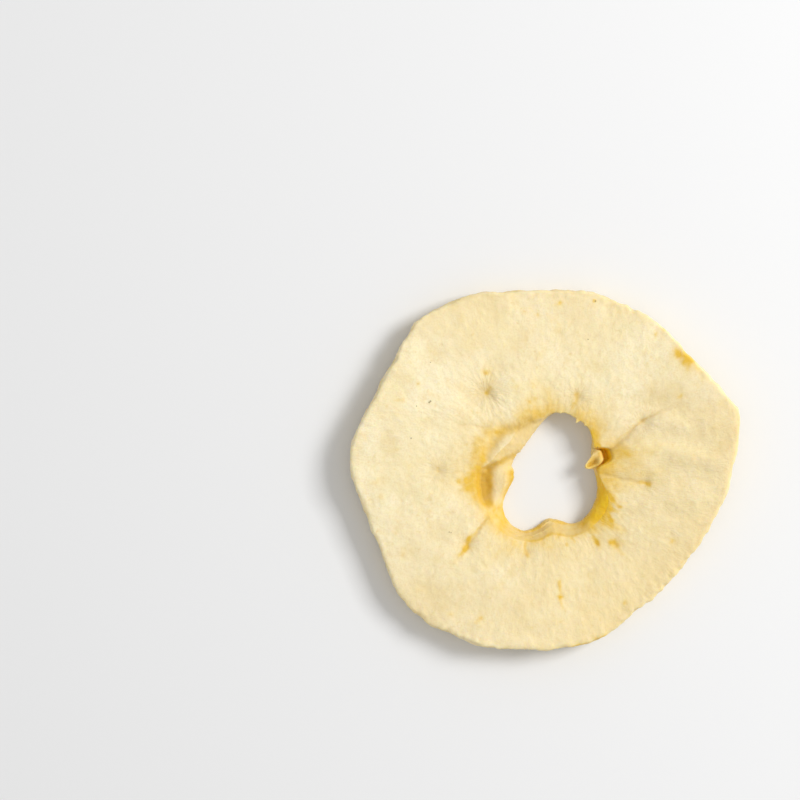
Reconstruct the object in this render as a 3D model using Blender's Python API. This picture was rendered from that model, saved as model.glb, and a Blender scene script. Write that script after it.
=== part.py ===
"""A dried apple ring: one cored, peeled slice of dried flesh, lying flat.

Units are metres. X runs across the ring's longest width, Y across it, Z up from the
surface that it lies on. The origin is on that surface, under the middle of the ring.
Angles are in degrees, turned from +X towards +Y about the middle of the core hole.
"""
import math

import bmesh
import bpy

MM = 0.001

# The flesh
THICKNESS = 4.7 * MM
RIM_THINNING = 0.5 * MM
RIM_NOSE = 1.1 * MM
NOSE_SQUARENESS = 2.4

# The rim: flats left by the peeler, as (direction they face, distance from the middle)
PEELED_FLATS = (
    (0, 32.6 * MM), (42, 30.3 * MM), (66, 30.3 * MM), (91, 29.7 * MM), (118, 32.0 * MM),
    (152, 30.8 * MM), (177, 32.7 * MM), (-159, 30.6 * MM), (-131, 32.3 * MM), (-108, 31.0 * MM),
    (-90, 30.0 * MM), (-70, 29.4 * MM), (-50, 27.9 * MM), (-38, 28.0 * MM), (-28, 28.6 * MM),
    (-12, 30.1 * MM),
)
FLAT_BLEND = 0.6 * MM

# The core hole: its round cut and the five seed chambers that open into it
HOLE_X = -0.6 * MM
HOLE_Y = -0.8 * MM
CUT_RADIUS = 9.2 * MM
# Each chamber: direction, half width in degrees, depth, share of it that goes right through
SEED_CHAMBERS = (
    (58, 27, 1.6 * MM, 1.0),
    (17, 8, 2.7 * MM, 0.0),
    (-42, 33, 2.8 * MM, 0.8),
    (-118, 33, 2.4 * MM, 0.6),
    (-169, 20, 1.9 * MM, 0.0),
)
TORN_LIP = (138, 26, 1.6 * MM)
# Each stretch of shelf left low on the hole's wall: direction, half width, reach inwards
SHELVES = ((118, 28, 2.4 * MM), (180, 32, 3.8 * MM), (-76, 24, 2.0 * MM), (-28, 18, 1.0 * MM))
LEAST_SHELF = 0.4 * MM
# Each chamber left closed below: its direction and half width, the shares of the wall where
# its inner ridge starts, where it ends and where its floor lies, and both their heights
POCKETS = (
    (-169, 20, 0.25, 0.48, 0.74, 0.60, 0.22),
    (17, 9, 0.20, 0.30, 0.60, 0.85, 0.15),
)
# How the wall climbs: by this power of the share of its width, and rounder along the torn lip
WALL_POWER = 0.8
LIP_POWER = 0.45
LIP_STRETCH = (125, 42)
MOUTH_DIP = 0.9 * MM
MOUTH_DIP_REACH = 2.4 * MM
EDGE_ROUND = 0.5 * MM

# The warp from drying, as (direction of a raised stretch of rim, half width, rise)
RIM_RISES = ((14, 46, 3.0 * MM), (163, 38, 1.5 * MM), (-97, 30, 1.3 * MM))
WARP_POWER = 1.5
REST_SINK = 0.16 * MM

# Soft folds across the right-hand side
FOLD_DIRECTION = 8
FOLD_HALF_WIDTH = 34
FOLD_HEIGHT = 0.28 * MM
FOLD_SPACING = 6.5 * MM

# Dimples over the vascular bundles: x, y, radius, depth
DIMPLES = (
    (-9.9 * MM, 12.6 * MM, 2.2 * MM, 0.75 * MM),
    (5.2 * MM, 12.0 * MM, 1.5 * MM, 0.40 * MM),
    (15.7 * MM, 8.0 * MM, 1.8 * MM, 0.45 * MM),
    (16.4 * MM, -2.1 * MM, 1.7 * MM, 0.40 * MM),
    (-17.8 * MM, -0.2 * MM, 1.9 * MM, 0.35 * MM),
    (-13.0 * MM, -12.5 * MM, 1.7 * MM, 0.45 * MM),
    (-3.2 * MM, -13.5 * MM, 1.5 * MM, 0.30 * MM),
    (8.2 * MM, -12.2 * MM, 1.5 * MM, 0.30 * MM),
    (11.6 * MM, -12.2 * MM, 1.6 * MM, 0.30 * MM),
)
# Creases that run out from the hole: start, end, half width, depth
CREASES = (
    ((10.6 * MM, 3.0 * MM), (15.7 * MM, 8.0 * MM), 1.1 * MM, 0.45 * MM),
    ((15.7 * MM, 8.0 * MM), (19.5 * MM, 9.8 * MM), 1.0 * MM, 0.25 * MM),
    ((9.5 * MM, -1.0 * MM), (16.4 * MM, -2.1 * MM), 1.0 * MM, 0.30 * MM),
    ((-9.2 * MM, -7.2 * MM), (-13.0 * MM, -12.5 * MM), 1.0 * MM, 0.35 * MM),
    ((-14.4 * MM, 7.3 * MM), (-6.0 * MM, 6.9 * MM), 1.0 * MM, 0.25 * MM),
)
UNDERSIDE_DIMPLES = 10
UNDERSIDE_DIMPLE_CIRCLE = 15.5 * MM
UNDERSIDE_DIMPLE_RADIUS = 1.7 * MM
UNDERSIDE_DIMPLE_DEPTH = 0.4 * MM

# Mesh steps round the ring, and along each stretch of its section
ROUND_STEPS = 144
TOP_STEPS = 13
NOSE_STEPS = 7
BOTTOM_STEPS = 9
WALL_STEPS = 9

FLESH_COLOUR = (0.92, 0.77, 0.46, 1.0)
FLESH_ROUGHNESS = 0.7


def turn_between(angle, direction):
    """The turn from a direction in degrees to an angle in degrees, from -180 to 180."""
    return (angle - direction + 180.0) % 360.0 - 180.0


def soft_window(distance, half_width):
    """1 in the middle of a stretch, falling smoothly to 0 past its half width."""
    return math.exp(-((distance / half_width) ** 4))


def soft_spot(distance, radius):
    """1 in the middle of a spot, falling in a bell curve."""
    return math.exp(-((distance / radius) ** 2))


def smooth_step(value, low, high):
    """0 below low, 1 above high, with a soft rise between."""
    share = min(max((value - low) / (high - low), 0.0), 1.0)
    return share * share * (3.0 - 2.0 * share)


def rim_radius(angle):
    """From the hole's middle to the rim: the soft minimum of the peeled flats."""
    reaches = []
    for direction, distance in PEELED_FLATS:
        facing = math.cos(math.radians(turn_between(angle, direction)))
        if facing > 0.2:
            heading = math.radians(direction)
            from_hole = distance - HOLE_X * math.cos(heading) - HOLE_Y * math.sin(heading)
            reaches.append(from_hole / facing)
    nearest = min(reaches)
    total = sum(math.exp((nearest - reach) / FLAT_BLEND) for reach in reaches)
    return nearest - FLAT_BLEND * math.log(total)


def mouth_radius(angle):
    """The core hole's top edge, opened by the seed chambers."""
    radius = CUT_RADIUS
    for direction, half_width, depth, _ in SEED_CHAMBERS:
        radius += depth * soft_window(turn_between(angle, direction), half_width)
    direction, half_width, depth = TORN_LIP
    return radius - depth * soft_spot(turn_between(angle, direction), half_width)


def throat_radius(angle):
    """The core hole's bottom edge, narrowed by the shelves."""
    radius = mouth_radius(angle) - LEAST_SHELF
    for direction, half_width, depth, through in SEED_CHAMBERS:
        radius -= (1.0 - through) * depth * soft_window(turn_between(angle, direction), half_width)
    for direction, half_width, reach in SHELVES:
        radius -= reach * soft_spot(turn_between(angle, direction), half_width)
    return radius


def outward_share(radius, angle):
    """0 at the hole's cut, 1 at the rim."""
    share = (radius - CUT_RADIUS) / (rim_radius(angle) - CUT_RADIUS)
    return min(max(share, 0.0), 1.0)


def warp(radius, angle):
    """How far drying has lifted the flesh off the surface it lies on."""
    lift = 0.0
    for direction, half_width, rise in RIM_RISES:
        lift += rise * soft_spot(turn_between(angle, direction), half_width)
    return lift * outward_share(radius, angle) ** WARP_POWER


def place(radius, angle):
    """The point in the ring's frame at a radius and angle about the hole."""
    heading = math.radians(angle)
    return HOLE_X + radius * math.cos(heading), HOLE_Y + radius * math.sin(heading)


def distance_to_line(x, y, start, end):
    """The distance from a point to a straight stretch."""
    along_x = end[0] - start[0]
    along_y = end[1] - start[1]
    share = ((x - start[0]) * along_x + (y - start[1]) * along_y) / (along_x ** 2 + along_y ** 2)
    share = min(max(share, 0.0), 1.0)
    return math.hypot(x - start[0] - share * along_x, y - start[1] - share * along_y)


def top_relief(x, y, angle, share):
    """Dimples, creases and folds of the upper face."""
    relief = 0.0
    for spot_x, spot_y, radius, depth in DIMPLES:
        relief -= depth * soft_spot(math.hypot(x - spot_x, y - spot_y), radius)
    for start, end, half_width, depth in CREASES:
        relief -= depth * soft_spot(distance_to_line(x, y, start, end), half_width)
    folded = soft_window(turn_between(angle, FOLD_DIRECTION), FOLD_HALF_WIDTH) * share * (1.0 - share) * 4.0
    return relief + folded * FOLD_HEIGHT * math.sin(math.tau * y / FOLD_SPACING)


def top_height(radius, angle):
    """The upper face."""
    x, y = place(radius, angle)
    share = outward_share(radius, angle)
    flesh = THICKNESS - RIM_THINNING * share ** 3
    dip = MOUTH_DIP * math.exp(-max(radius - mouth_radius(angle), 0.0) / MOUTH_DIP_REACH)
    return flesh + warp(radius, angle) + top_relief(x, y, angle, share) - dip


def bottom_height(radius, angle):
    """The lower face: flat where it rests, with its own dimples where it doesn't."""
    x, y = place(radius, angle)
    dimples = 0.0
    for index in range(UNDERSIDE_DIMPLES):
        spot_x, spot_y = place(UNDERSIDE_DIMPLE_CIRCLE, 360.0 * index / UNDERSIDE_DIMPLES)
        distance = math.hypot(x - spot_x, y - spot_y)
        dimples += UNDERSIDE_DIMPLE_DEPTH * soft_spot(distance, UNDERSIDE_DIMPLE_RADIUS)
    return max(warp(radius, angle) + dimples - REST_SINK, 0.0)


def top_stretch(angle):
    """Section points along the upper face, from the hole's mouth to the rim's nose."""
    inner = mouth_radius(angle)
    outer = rim_radius(angle) - RIM_NOSE
    points = []
    for step in range(TOP_STEPS):
        radius = inner + (outer - inner) * step / TOP_STEPS
        points.append((radius, top_height(radius, angle)))
    return points


def nose_stretch(angle):
    """Section points round the rim's blunt nose, from the upper face to the lower one."""
    back = rim_radius(angle) - RIM_NOSE
    top = top_height(back, angle)
    bottom = bottom_height(back, angle)
    middle = (top + bottom) / 2.0
    points = []
    for step in range(NOSE_STEPS):
        tilt = math.pi * (0.5 - step / (NOSE_STEPS - 1))
        out = max(math.cos(tilt), 0.0) ** (2.0 / NOSE_SQUARENESS)
        rise = math.copysign(abs(math.sin(tilt)) ** (2.0 / NOSE_SQUARENESS), tilt)
        points.append((back + RIM_NOSE * out, middle + (top - middle) * rise))
    return points


def bottom_stretch(angle):
    """Section points along the lower face, from the rim's nose to the hole's throat."""
    inner = throat_radius(angle) + EDGE_ROUND
    outer = rim_radius(angle) - RIM_NOSE
    points = []
    for step in range(1, BOTTOM_STEPS + 1):
        radius = outer + (inner - outer) * step / BOTTOM_STEPS
        points.append((radius, bottom_height(radius, angle)))
    return points


def wall_height(share, angle):
    """The wall's height, 0 to 1, at a share of its width: a slope, with pockets set into it."""
    direction, half_width = LIP_STRETCH
    lip = soft_window(turn_between(angle, direction), half_width)
    height = share ** (WALL_POWER + (LIP_POWER - WALL_POWER) * lip)
    for direction, half_width, ridge_start, ridge_end, floor_at, ridge, floor in POCKETS:
        pocket = ridge * smooth_step(share, 0.0, ridge_start)
        pocket -= (ridge - floor) * smooth_step(share, ridge_end, floor_at)
        pocket += (1.0 - floor) * smooth_step(share, floor_at, 1.0)
        height += (pocket - height) * soft_window(turn_between(angle, direction), half_width)
    return height


def wall_stretch(angle):
    """Section points up the hole's wall, from its throat to its mouth."""
    throat = throat_radius(angle)
    mouth = mouth_radius(angle)
    bottom = bottom_height(throat + EDGE_ROUND, angle) + EDGE_ROUND
    top = top_height(mouth, angle)
    points = []
    for step in range(WALL_STEPS):
        share = step / WALL_STEPS
        radius = throat + (mouth - throat) * share
        points.append((radius, bottom + (top - bottom) * wall_height(share, angle)))
    return points


def section(angle):
    """The ring's whole section in one direction, as a loop of radius and height."""
    return wall_stretch(angle) + top_stretch(angle) + nose_stretch(angle) + bottom_stretch(angle)


def ring_mesh(name):
    """Sweeps the section round the hole and closes it into one skin."""
    mesh_maker = bmesh.new()
    loops = []
    for step in range(ROUND_STEPS):
        angle = 360.0 * step / ROUND_STEPS
        loop = []
        for radius, height in section(angle):
            x, y = place(radius, angle)
            loop.append(mesh_maker.verts.new((x, y, height)))
        loops.append(loop)
    for step, loop in enumerate(loops):
        following = loops[(step + 1) % ROUND_STEPS]
        for index in range(len(loop)):
            after = (index + 1) % len(loop)
            mesh_maker.faces.new((loop[index], loop[after], following[after], following[index]))
    bmesh.ops.triangulate(mesh_maker, faces=mesh_maker.faces)
    bmesh.ops.recalc_face_normals(mesh_maker, faces=mesh_maker.faces)
    mesh = bpy.data.meshes.new(name)
    mesh_maker.to_mesh(mesh)
    mesh_maker.free()
    mesh.shade_smooth()
    return mesh


def flesh_material():
    """Pale cream dried flesh with a dull, velvety surface."""
    material = bpy.data.materials.new("dried_flesh")
    material.use_nodes = True
    shader = material.node_tree.nodes["Principled BSDF"]
    shader.inputs["Base Color"].default_value = FLESH_COLOUR
    shader.inputs["Roughness"].default_value = FLESH_ROUGHNESS
    shader.inputs["Metallic"].default_value = 0.0
    return material


def clear_scene():
    """Starts from an empty scene."""
    for item in list(bpy.data.objects):
        bpy.data.objects.remove(item, do_unlink=True)


def build_ring():
    """Adds the dried apple ring to the scene."""
    ring = bpy.data.objects.new("apple_ring", ring_mesh("apple_ring"))
    ring.data.materials.append(flesh_material())
    bpy.context.scene.collection.objects.link(ring)
    return ring


clear_scene()
build_ring()
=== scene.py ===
import math
from functools import reduce

import bpy
import numpy as np
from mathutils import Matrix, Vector, noise


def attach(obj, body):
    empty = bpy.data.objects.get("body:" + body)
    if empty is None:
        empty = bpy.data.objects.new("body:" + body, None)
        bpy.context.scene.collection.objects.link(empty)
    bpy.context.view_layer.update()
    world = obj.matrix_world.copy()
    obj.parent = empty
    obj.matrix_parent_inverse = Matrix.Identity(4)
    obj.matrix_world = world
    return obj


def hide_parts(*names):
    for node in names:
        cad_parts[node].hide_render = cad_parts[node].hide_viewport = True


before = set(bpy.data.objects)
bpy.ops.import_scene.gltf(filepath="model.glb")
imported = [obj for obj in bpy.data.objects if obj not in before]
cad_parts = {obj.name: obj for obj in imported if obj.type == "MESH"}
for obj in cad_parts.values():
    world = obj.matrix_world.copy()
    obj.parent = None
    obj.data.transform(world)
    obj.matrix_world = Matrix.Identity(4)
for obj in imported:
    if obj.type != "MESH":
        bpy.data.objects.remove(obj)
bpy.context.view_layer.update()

# A dried apple ring lying on a pale floor, seen from straight above. Units are metres, and
# millimetres in the tables that in_metres converts. Angles are in degrees, turned from +X
# towards +Y about the middle of the core hole.
MM = 0.001


def in_metres(rows, columns):
    """The same rows, with the values in the named columns turned from millimetres."""
    return [
        [value * MM if column in columns else value for column, value in enumerate(row)]
        for row in rows
    ]


# The view: how wide one pixel of the 800 x 800 frame is, and where the ring's middle falls
PIXEL = 0.165 * MM
FRAME_SIDE = 800
RING_MIDDLE_PIXEL = (546.2, 469.7)
CAMERA_HEIGHT = 450 * MM
FLOOR_SIDE = 6
FLOOR_DROP = 0.02 * MM
FLOOR_GREY = 0.84

# The flesh
THICKNESS = 4.7 * MM
RIM_THINNING = 0.5 * MM
RIM_NOSE = 0.65 * MM
NOSE_SQUARENESS = 3
SIDE_PINCH = 0.36 * MM
# How far the dried rim's edges wave up and down
RIM_WAVE = 0.3 * MM
# How much of the upper edge's raggedness is left at the lower edge
RAGGED_BELOW = 0.15

# Flats left by the peeler: direction they face, distance from the middle
PEELED_FLATS = in_metres((
    (0, 32.6), (42, 30.3), (66, 30.3), (91, 29.7), (118, 32), (152, 30.8), (177, 32.7),
    (-159, 30.6), (-131, 32.3), (-108, 31), (-90, 30), (-70, 29.4), (-50, 27.9), (-38, 28),
    (-28, 28.6), (-12, 30.1),
), [1])
FLAT_BLEND = 0.6 * MM

# Nicks in the rim: direction, half width, depth
RIM_NICKS = in_metres((
    (-56, 1.3, 0.7), (-51, 0.8, 0.25), (-42.5, 0.9, 0.35), (-35, 0.9, 0.3), (-28.5, 0.8, 0.25),
    (40.5, 1.3, 0.4), (61.5, 0.9, 0.3), (-116, 0.8, 0.3), (-118.5, 0.6, 0.25),
    (-121.5, 1, 0.4), (142, 1, 0.3),
), [2])
# Rim left rough by the peeler: direction, half width, how much rougher
ROUGH_STRETCHES = ((-45, 24, 1.6), (-119, 14, 1.4), (52, 16, 0.8), (142, 8, 0.8))

# The core hole: its round cut and the five seed chambers that open into it
HOLE_X = -0.6 * MM
HOLE_Y = -0.8 * MM
CUT_RADIUS = 9.2 * MM
# Each chamber: direction, half width, depth, share of it that goes right through
SEED_CHAMBERS = in_metres((
    (58, 27, 1.6, 1), (17, 8, 2.7, 0), (-42, 33, 2.8, 0.8), (-118, 33, 2.4, 0.6),
    (-169, 20, 1.9, 0),
), [2])
TORN_LIP = (138, 26, 1.6 * MM)
# Shelves left low on the hole's wall: direction, half width, reach inwards
SHELVES = in_metres((
    (118, 28, 2.4), (180, 32, 3.8), (-150, 26, 1.1), (-76, 24, 2), (-28, 18, 1),
), [2])
LEAST_SHELF = 0.4 * MM
# The wall cut back under the mouth: direction, half width, how far
UNDERCUT = (58, 32, 0.75 * MM)
# Two chambers closed below: direction, half width
LEFT_CHAMBER = (-169, 20)
SMALL_CHAMBER = (17, 9)
# Their shape: the shares of the wall where the inner ridge starts and ends and where the
# floor lies, and both heights
POCKETS = (
    (*LEFT_CHAMBER, 0.24, 0.44, 0.76, 0.58, 0.38),
    (*SMALL_CHAMBER, 0.2, 0.48, 0.6, 0.85, 0.35),
)
# The wall climbs by this power of the share of its width, and rounder in some stretches:
# direction, half width, power
WALL_POWER = 0.8
ROUNDER_WALLS = ((125, 42, 0.45), (-28, 28, 0.22))
# The core's edge where the lip is torn from it: direction, radius
CORE_EDGE = in_metres((
    (80, 10.2), (97, 9.3), (113, 9), (130, 9.5), (146, 10), (168, 9.9), (180, 10.9),
), [1])
# The groove behind the torn lip: direction, half width, half width across it, depth, and how
# far its middle lies inside the core's edge
LIP_GROOVE = (131, 40, 0.9 * MM, 0.64 * MM, 0.25 * MM)
LIP_STEP = 0.25 * MM
# The share of the mouth's dip taken away along the lip, and on the right: direction, half
# width, share
LIP_LIFT = 0.6
RIGHT_LIFT = (22, 62, 0.8)
# The crease where the torn lip lies over the ledge below it: start x, y, end x, y
LEDGE_CREASE = (-9.7 * MM, 0.1 * MM, -5 * MM, 2.4 * MM)
LEDGE_CREASE_HALF_WIDTH = 0.48 * MM
LEDGE_CREASE_DEPTH = 0.48 * MM
# Thin membranes left on the wall: direction, half width, share of the wall's width where
# each stands, half width as a share, height
WALL_MEMBRANES = ((-96, 30, 0.13, 0.07, 0.5 * MM), (-104, 24, 0.52, 0.08, 0.28 * MM))
# The beak that the small chamber's wall is drawn out into, and the groove along it
BEAK_DIRECTION = 15
BEAK_HALF_WIDTH = 6
BEAK_REACH = 2.3 * MM
BEAK_HEADING = 212
BEAK_GROOVE_HALF_WIDTH = 3.2
BEAK_GROOVE_DEPTH = 0.9 * MM
# How far the upper face dips towards the hole
MOUTH_DIP = 0.9 * MM
MOUTH_DIP_REACH = 2.4 * MM
EDGE_ROUND = 0.5 * MM
# Torn teeth on the hole's edge: direction, half width, reach inwards
TORN_TEETH = in_metres((
    (57, 1.4, 0.85), (49, 1.6, 0.25), (74, 2, 0.2), (90, 2.4, 0.3),
), [2])

# The warp from drying: direction of a raised stretch of rim, half width, rise
RIM_RISES = ((14, 46, 3 * MM), (163, 38, 1.5 * MM), (-97, 30, 1.3 * MM))
WARP_POWER = 1.5
REST_SINK = 0.16 * MM

# Soft folds across the right-hand side
FOLD_DIRECTION = 8
FOLD_HALF_WIDTH = 34
FOLD_HEIGHT = 0.34 * MM
FOLD_SPACING = 6.5 * MM

# The marks over the vascular bundles: x, y, a dimple's radius and depth, and the reach, depth
# and number of the fine furrows round it
BUNDLES = in_metres((
    (-9.9, 12.6, 2.7, 0.72, 5.2, 0.21, 19), (5.2, 12, 1.5, 0.4, 3.6, 0.13, 15),
    (15.7, 8, 1.8, 0.45, 4, 0.12, 15), (16.4, -2.1, 1.7, 0.4, 3.4, 0.11, 13),
    (-17.8, -0.2, 1.7, 0.46, 4, 0.16, 15), (-13, -12.5, 1.7, 0.45, 3.2, 0.09, 13),
    (-3.2, -13.5, 1.5, 0.3, 2.6, 0.07, 11), (8.2, -12.2, 1.5, 0.3, 0, 0, 0),
    (11.6, -12.2, 1.6, 0.3, 2.8, 0.08, 11),
), range(6))
DIMPLES = [row[:4] for row in BUNDLES]
STARS = [row[:2] + row[4:] for row in BUNDLES if row[-1] > 0]
# Creases that run out from the hole: start x, y, end x, y, half width, depth
CREASES = in_metres((
    (10.6, 3, 15.7, 8, 1.4, 0.56), (15.7, 8, 20.2, 10.2, 1.2, 0.42),
    (9.5, -1, 16.4, -2.1, 1.1, 0.3), (-9.2, -7.2, -13, -12.5, 1, 0.35),
    (-14.4, 7.3, -6, 6.9, 1, 0.25),
), range(6))
LOWER_DIMPLES = 10
LOWER_DIMPLE_CIRCLE = 15.5 * MM
LOWER_DIMPLE_RADIUS = 1.7 * MM
LOWER_DIMPLE_DEPTH = 0.4 * MM

# The golden band round the core: direction, strength at the core's edge, reach
HALO = in_metres((
    (0, 0.68, 6.6), (14, 0.68, 7), (25, 0.5, 4.8), (36, 0.86, 2.5), (48, 0.64, 5.2),
    (62, 0.62, 2.2), (73, 0.6, 1.7), (86, 0.64, 4.8), (97, 0.52, 6), (110, 0.54, 3.8),
    (122, 0.46, 2.3), (134, 0.58, 3), (148, 0.6, 5), (156, 0.58, 4.3), (168, 0.71, 3.7),
    (180, 0.85, 2.9), (192, 0.84, 3.1), (204, 0.74, 1.9), (214, 0.46, 1.8), (222, 0.5, 2),
    (242, 0.52, 4.2), (264, 0.42, 2.5), (282, 0.62, 2.2), (300, 0.34, 1.6), (312, 0.56, 1.8),
    (324, 1, 2.4), (336, 0.74, 2), (348, 0.66, 3.3),
), [2])

# Golden veins: start x, y, end x, y, half width, strength at the start and at the end
VEINS = in_metres((
    (-8.9, -7.2, -12.4, -11.4, 0.55, 0.4, 0.45), (-12.4, -11.4, -13.5, -13.3, 0.46, 0.85, 0.92),
    (-13.5, -13.3, -16.4, -16.7, 0.45, 0.6, 0.05), (-3.6, -11.8, -3.2, -13.6, 0.45, 0.45, 0.65),
    (-3.2, -13.6, -2.7, -15.3, 0.35, 0.65, 0.1), (7.2, -9.9, 8.4, -12.3, 0.4, 0.35, 0.8),
    (8.4, -12.3, 9.1, -13.6, 0.3, 0.6, 0.1), (9.2, -8.8, 10.9, -11.8, 0.35, 0.4, 0.25),
    (11, -12, 11.6, -12.5, 0.6, 0.8, 0.7), (11.6, -12.5, 14.6, -16, 0.4, 0.45, 0.05),
    (9.4, -3.4, 11.9, -5.9, 0.5, 0.95, 0.6), (9.4, -6.6, 11.6, -9.4, 0.5, 1, 0.5),
    (9, -7.4, 9.6, -9.6, 0.45, 0.9, 0.35), (8.2, 4.6, 8.7, 2.8, 0.6, 0.8, 1),
    (10.1, -1.2, 14.2, -1.6, 0.35, 0.4, 0.25), (14, -1.6, 16.8, -2.3, 0.38, 0.3, 0.7),
    (11.4, 4.6, 15.7, 8, 0.35, 0.35, 0.35), (15.7, 8.1, 18.9, 9.6, 0.3, 0.4, 0.1),
    (5.2, 12.4, 4.6, 9.8, 0.6, 0.55, 0.4), (-9.8, 12.7, -8.5, 14.1, 0.5, 0.5, 0.3),
    (6.6, 17, 5.8, 13.6, 0.35, 0.1, 0.25), (2.1, -18.4, 2.3, -20.9, 0.28, 0.55, 0.3),
    (2.3, -20.9, 2.9, -23.4, 0.32, 0.8, 0.15), (4.2, -11.2, 4.7, -12.1, 0.3, 0.55, 0.4),
    (-11.8, -2.8, -14.4, -1.9, 0.6, 0.6, 0.6), (-12.4, -1.2, -13.4, -2.6, 1.1, 0.8, 0.62),
    (-27.4, -4.2, -26.9, -6, 0.35, 0.45, 0.2), (-10.6, -24.5, -11.9, -25.6, 0.35, 0.6, 0.15),
    (-25, 11.3, -23.4, 11.6, 0.35, 0.25, 0.35), (4, -29.3, 8.2, -28.6, 0.45, 0.45, 0.8),
    (8.2, -28.6, 10.6, -27.2, 0.55, 0.9, 0.4), (21.8, 19.2, 23.4, 17.7, 0.95, 0.75, 0.9),
    (23.2, 17.6, 25.2, 16.4, 0.6, 0.75, 0.35),
), range(5))

# Round yellow flecks, and one patch of painted shade: x, y, radius, strength
FLECKS = in_metres((
    (-9.8, 16.2, 0.85, 0.55), (-9.5, 14.2, 1.6, 0.32), (-3.7, 25.9, 0.38, 0.5),
    (-1.4, 25.7, 0.36, 0.55), (2.3, 27.6, 0.55, 0.55), (8, 27.8, 0.3, 0.9),
    (18, 22.3, 0.4, 0.6), (19.3, 23.1, 0.5, 0.5), (21.9, 12.2, 0.55, 0.45),
    (28.5, 10.9, 0.5, 0.4), (20.7, -11.8, 0.55, 0.45), (12.9, -21.9, 0.5, 0.5),
    (3.4, -12.3, 0.4, 0.6), (-21.1, 14.2, 0.34, 0.55), (-22.4, 17.7, 0.5, 0.3),
    (-19.3, -6.8, 0.55, 0.35), (-24.8, -10.4, 0.5, 0.35), (-23.5, -14.1, 0.55, 0.35),
    (-15.9, -23.9, 0.6, 0.35), (-10, -15.8, 0.7, 0.25), (-5.3, 14.7, 0.4, 0.35),
    (11.9, 26, 0.5, 0.35), (-2.3, 11.3, 1.7, 0.42), (-2.7, 11.1, 0.55, 0.55),
    # The patch at (-4.8, 13.3) is painted shade beside the first dimple, on its right
    (-2.1, 14.1, 1.6, 0.3), (-4.8, 13.3, 1.3, 0.28),
), range(3))

# Dark specks on the skin: x, y, radius
SPECKS = in_metres((
    (-19.3, 11.1, 0.14), (-19.1, 11.3, 0.14), (-16, -10.3, 0.09), (-15.7, -10.4, 0.08),
    (-21.4, 10.5, 0.09), (-22.3, 5.2, 0.11), (-19.1, 17.7, 0.08), (6.9, 21.5, 0.09),
    (8.1, 27.8, 0.13), (8.5, 3.7, 0.1),
), range(3))

# The depths at which a dimple, a crease and a hollow are fully coloured: the dimple with gold and
# painted shade, the crease and the hollow with painted shade
FULL_DIMPLE = 0.75 * MM
FULL_CREASE = 0.6 * MM
FULL_HOLLOW = 0.16 * MM
# Strength of the golden painted shade in the groove behind the torn lip
LIP_GROOVE_SHADE = 0.7

# The circles on which noise runs along the rim and along the hole
RIM_CIRCLE = 30 * MM
HOLE_CIRCLE = 9 * MM

# The stretches of the ring's section, in the order that they are swept
WALL = 0
TOP = 1
NOSE = 2
BOTTOM = 3

# Mottling: its noise's scale, detail and roughness, where it starts and is full, its
# strength and its screen colour
MOTTLING = (
    (380, 4, 0.6, 0.5, 0.76, 0.5, (238, 214, 152)),
    (1100, 3, 0.55, 0.6, 0.78, 0.5, (232, 204, 136)),
    (3200, 2, 0.6, 0.42, 0.72, 0.35, (234, 210, 150)),
)
# The finest relief: the furrows' depth, and the scale and height of the lumps
FURROW_DEPTH = 0.048 * MM
LUMPS = ((600, 0.062 * MM), (1400, 0.066 * MM), (3200, 0.05 * MM))

# Mesh steps round the ring, and along each stretch of its section
ROUND_STEPS = 640
TOP_STEPS = 72
NOSE_STEPS = 18
BOTTOM_STEPS = 26
WALL_STEPS = 40


def turn_between(angle, direction):
    """The turn from a direction to an angle, from -180 to 180 degrees."""
    return (angle - direction + 180) % 360 - 180


def soft_window(distance, half_width):
    """1 in the middle of a stretch, falling smoothly to 0 past its half width."""
    return np.exp(-((distance / half_width) ** 4))


def soft_spot(distance, radius):
    """1 in the middle of a spot, falling in a bell curve."""
    return np.exp(-((distance / radius) ** 2))


def arc_window(angle, direction, half_width):
    """The same over a stretch of the way round."""
    return soft_window(turn_between(angle, direction), half_width)


def arc_spot(angle, direction, half_width):
    """The same in one direction of the way round."""
    return soft_spot(turn_between(angle, direction), half_width)


def stretches(angle, table, fall=arc_spot):
    """For rows that start with direction and half width: how near, 0 to 1, and the rest."""
    for direction, half_width, *values in table:
        yield fall(angle, direction, half_width), *values


def highest(*values):
    """The largest of several values at each point."""
    return reduce(np.maximum, values)


def smooth_step(value, low, high):
    """0 below low, 1 above high, with a soft rise between."""
    share = np.clip((value - low) / (high - low), 0, 1)
    return share * share * (3 - 2 * share)


def fractal(points, size, octaves, seed):
    """Soft noise, about -1 to 1, over points given as an (..., 3) array."""
    flat = points.reshape(-1, 3) / size + seed * 17.31
    values = [noise.fractal(Vector(p), 0.8, 2, octaves) for p in flat]
    return np.array(values).reshape(points.shape[:-1])


def spoke_noise(angle, radius, count, length, octaves, seed):
    """Noise like spokes, about as many round the way as count, drawn out along the radius."""
    circle = around_ring(angle + 0 * radius, count / math.tau)
    circle[..., 2] = radius / length
    return fractal(circle, 1, octaves, seed)


def flat_points(x, y):
    """Points at no height."""
    return np.stack([x, y, 0 * x], axis=-1)


def around_ring(angle, radius):
    """Points on a circle, for noise that meets itself after one turn."""
    heading = np.radians(angle)
    return flat_points(radius * np.cos(heading), radius * np.sin(heading))


def rim_radius(angle):
    """From the hole's middle to the rim: the soft minimum of the peeled flats."""
    reaches = []
    for direction, distance in PEELED_FLATS:
        facing = np.cos(np.radians(turn_between(angle, direction)))
        heading = math.radians(direction)
        from_hole = distance - HOLE_X * math.cos(heading) - HOLE_Y * math.sin(heading)
        reaches.append(np.where(facing > 0.2, from_hole / np.maximum(facing, 0.2), 1))
    reaches = np.array(reaches)
    nearest = reaches.min(axis=0)
    return nearest - FLAT_BLEND * np.log(np.exp((nearest - reaches) / FLAT_BLEND).sum(axis=0))


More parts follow.
